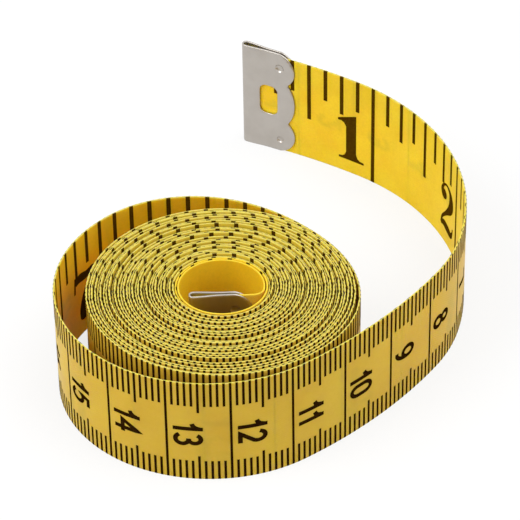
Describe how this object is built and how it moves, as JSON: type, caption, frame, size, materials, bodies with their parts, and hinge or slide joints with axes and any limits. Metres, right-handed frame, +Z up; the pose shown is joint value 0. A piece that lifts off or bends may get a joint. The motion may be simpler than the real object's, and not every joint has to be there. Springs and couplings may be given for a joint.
{
  "type": "cloth tape measure",
  "caption": "Coated cloth tape measure wound in a flat coil on its edge, with a loose outer turn, a free curled tail and a folded metal clip on each end.",
  "frame": {"origin": "on the table, under the middle of the whole part", "axes": "+Z up, across the strip's width; the coil and the outside of its loose turn face -Y, the tail's metal end is towards +Y"},
  "size_m": [0.0664, 0.0856, 0.0208],
  "materials": {
    "tape": "satin vinyl coat over woven cloth, yellow",
    "steel": "satin plated sheet",
    "ink": "matt printed scale"
  },
  "bodies": {
    "coil": {"wound_coil": "tape"},
    "loose_turn_1": {"loose_turn_1": "tape"},
    "loose_turn_2": {"loose_turn_2": "tape"},
    "loose_turn_3": {"loose_turn_3": "tape"},
    "loose_turn_4": {"loose_turn_4": "tape"},
    "loose_turn_5": {"loose_turn_5": "tape"},
    "loose_turn_6": {"loose_turn_6": "tape"},
    "loose_turn_7": {"loose_turn_7": "tape"},
    "loose_turn_8": {"loose_turn_8": "tape"},
    "loose_turn_9": {"loose_turn_9": "tape"},
    "loose_turn_10": {"loose_turn_10": "tape"},
    "tail_1": {"tail_1": "tape"},
    "tail_2": {"tail_2": "tape"},
    "tail_3": {"tail_3": "tape"},
    "tail_4": {"tail_4": "tape"},
    "tail_5": {"tail_5": "tape"},
    "tail_6": {"tail_6": "tape"},
    "tail_7": {"tail_7": "tape"},
    "tail_8": {"tail_8": "tape", "zero_clip": "steel"},
    "inner_end": {"inner_end": "tape", "far_clip": "steel"}
  },
  "joints": [
    {"name": "loose_turn_flex_1", "type": "hinge", "parent": "coil", "child": "loose_turn_1", "pos_m": [0.0092, -0.00865, 0.01], "axis": [0, 0, -1], "range_deg": [0, 5.5], "stiffness_Nm_per_rad": 0.07},
    {"name": "loose_turn_flex_2", "type": "hinge", "parent": "loose_turn_1", "child": "loose_turn_2", "pos_m": [0.00079, -0.0015, 0.01], "axis": [0, 0, -1], "range_deg": [0, 16.5]},
    {"name": "loose_turn_flex_3", "type": "hinge", "parent": "loose_turn_2", "child": "loose_turn_3", "pos_m": [-0.00962, 0.00205, 0.01], "axis": [0, 0, -1], "range_deg": [0, 22]},
    {"name": "loose_turn_flex_4", "type": "hinge", "parent": "loose_turn_3", "child": "loose_turn_4", "pos_m": [-0.02044, 0.00037, 0.01], "axis": [0, 0, -1], "range_deg": [0, 22]},
    {"name": "loose_turn_flex_5", "type": "hinge", "parent": "loose_turn_4", "child": "loose_turn_5", "pos_m": [-0.02886, -0.00665, 0.01], "axis": [0, 0, -1], "range_deg": [0, 22]},
    {"name": "loose_turn_flex_6", "type": "hinge", "parent": "loose_turn_5", "child": "loose_turn_6", "pos_m": [-0.03288, -0.01685, 0.01], "axis": [0, 0, -1], "range_deg": [0, 22]},
    {"name": "loose_turn_flex_7", "type": "hinge", "parent": "loose_turn_6", "child": "loose_turn_7", "pos_m": [-0.03142, -0.02771, 0.01], "axis": [0, 0, -1], "range_deg": [0, 22]},
    {"name": "loose_turn_flex_8", "type": "hinge", "parent": "loose_turn_7", "child": "loose_turn_8", "pos_m": [-0.02497, -0.0366, 0.01], "axis": [0, 0, -1], "range_deg": [0, 22]},
    {"name": "loose_turn_flex_9", "type": "hinge", "parent": "loose_turn_8", "child": "loose_turn_9", "pos_m": [-0.01523, -0.0417, 0.01], "axis": [0, 0, -1], "range_deg": [0, 22]},
    {"name": "loose_turn_flex_10", "type": "hinge", "parent": "loose_turn_9", "child": "loose_turn_10", "pos_m": [-0.00425, -0.04227, 0.01], "axis": [0, 0, -1], "range_deg": [0, 22]},
    {"name": "tail_flex_1", "type": "hinge", "parent": "loose_turn_10", "child": "tail_1", "pos_m": [0.00598, -0.03824, 0.01], "axis": [0, 0, -1], "range_deg": [-1.5, 13.5], "stiffness_Nm_per_rad": 0.005},
    {"name": "tail_flex_2", "type": "hinge", "parent": "tail_1", "child": "tail_2", "pos_m": [0.01658, -0.02999, 0.01], "axis": [0, 0, -1], "range_deg": [-0.75, 6.75]},
    {"name": "tail_flex_3", "type": "hinge", "parent": "tail_2", "child": "tail_3", "pos_m": [0.02567, -0.02011, 0.01], "axis": [0, 0, -1], "range_deg": [-1.8, 16.2]},
    {"name": "tail_flex_4", "type": "hinge", "parent": "tail_3", "child": "tail_4", "pos_m": [0.03181, -0.00827, 0.01], "axis": [0, 0, -1], "range_deg": [-2.1, 18.9]},
    {"name": "tail_flex_5", "type": "hinge", "parent": "tail_4", "child": "tail_5", "pos_m": [0.03279, 0.00507, 0.01], "axis": [0, 0, -1], "range_deg": [-2.1, 18.9]},
    {"name": "tail_flex_6", "type": "hinge", "parent": "tail_5", "child": "tail_6", "pos_m": [0.02894, 0.01788, 0.01], "axis": [0, 0, -1], "range_deg": [-1.95, 17.55]},
    {"name": "tail_flex_7", "type": "hinge", "parent": "tail_6", "child": "tail_7", "pos_m": [0.02077, 0.02846, 0.01], "axis": [0, 0, -1], "range_deg": [-1.8, 16.2]},
    {"name": "tail_flex_8", "type": "hinge", "parent": "tail_7", "child": "tail_8", "pos_m": [0.00971, 0.03607, 0.01], "axis": [0, 0, -1], "range_deg": [-1.2, 10.8]},
    {"name": "inner_end_flex", "type": "hinge", "parent": "coil", "child": "inner_end", "pos_m": [-0.00012, -0.02117, 0.01], "axis": [0, 0, -1], "range_deg": [-3, 18], "stiffness_Nm_per_rad": 0.0005}
  ],
  "couplings": [
    {"joint": "loose_turn_flex_2", "follows": "loose_turn_flex_1", "ratio": 3},
    {"joint": "loose_turn_flex_3", "follows": "loose_turn_flex_1", "ratio": 4},
    {"joint": "loose_turn_flex_4", "follows": "loose_turn_flex_1", "ratio": 4},
    {"joint": "loose_turn_flex_5", "follows": "loose_turn_flex_1", "ratio": 4},
    {"joint": "loose_turn_flex_6", "follows": "loose_turn_flex_1", "ratio": 4},
    {"joint": "loose_turn_flex_7", "follows": "loose_turn_flex_1", "ratio": 4},
    {"joint": "loose_turn_flex_8", "follows": "loose_turn_flex_1", "ratio": 4},
    {"joint": "loose_turn_flex_9", "follows": "loose_turn_flex_1", "ratio": 4},
    {"joint": "loose_turn_flex_10", "follows": "loose_turn_flex_1", "ratio": 4},
    {"joint": "tail_flex_2", "follows": "tail_flex_1", "ratio": 0.5},
    {"joint": "tail_flex_3", "follows": "tail_flex_1", "ratio": 1.2},
    {"joint": "tail_flex_4", "follows": "tail_flex_1", "ratio": 1.4},
    {"joint": "tail_flex_5", "follows": "tail_flex_1", "ratio": 1.4},
    {"joint": "tail_flex_6", "follows": "tail_flex_1", "ratio": 1.3},
    {"joint": "tail_flex_7", "follows": "tail_flex_1", "ratio": 1.2},
    {"joint": "tail_flex_8", "follows": "tail_flex_1", "ratio": 0.8}
  ]
}
